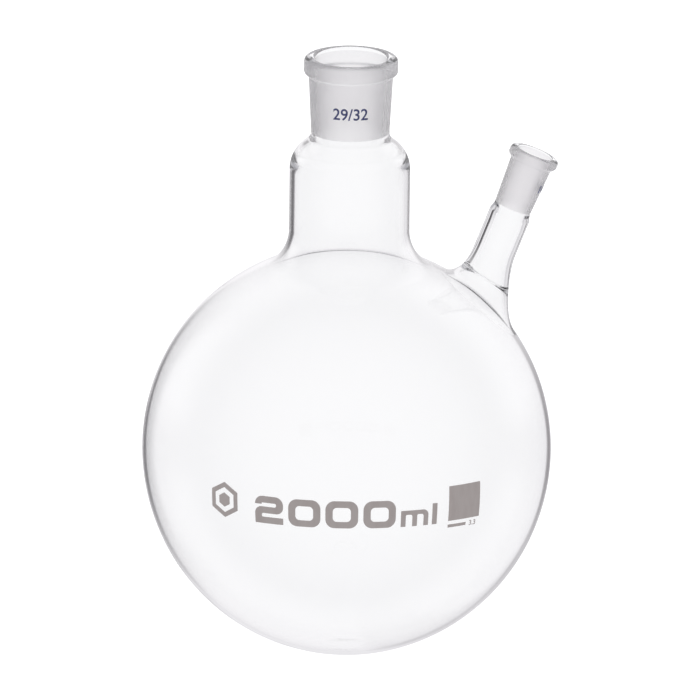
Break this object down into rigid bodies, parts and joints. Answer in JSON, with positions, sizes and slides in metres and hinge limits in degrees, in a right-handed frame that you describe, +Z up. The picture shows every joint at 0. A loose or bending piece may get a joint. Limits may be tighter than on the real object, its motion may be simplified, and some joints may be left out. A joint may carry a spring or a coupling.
{
  "type": "two-neck round-bottom flask",
  "caption": "Round-bottom glass flask with a wide shouldered centre neck and an angled side neck, each ending in a ground taper socket for stoppers, adapters and condensers.",
  "frame": {"origin": "middle of the small flat under the bulb, on the axis of the wide centre neck", "axes": "+Z up along the centre neck's axis; the side neck leans towards +X in the XZ plane; the print and its enamel square are on the -Y side"},
  "size_m": [0.1679, 0.1658, 0.2484],
  "materials": {
    "clear_glass": "clear, flame-polished borosilicate glass",
    "ground_glass": "borosilicate glass, ground to a matt surface inside the socket",
    "grey_enamel": "warm grey ceramic enamel fired on the glass, matt"
  },
  "bodies": {
    "root": {"bulb": "clear_glass", "centre_neck": "clear_glass", "centre_socket": "ground_glass", "side_neck": "clear_glass", "side_socket": "ground_glass", "marking_panel": "grey_enamel"}
  },
  "joints": []
}
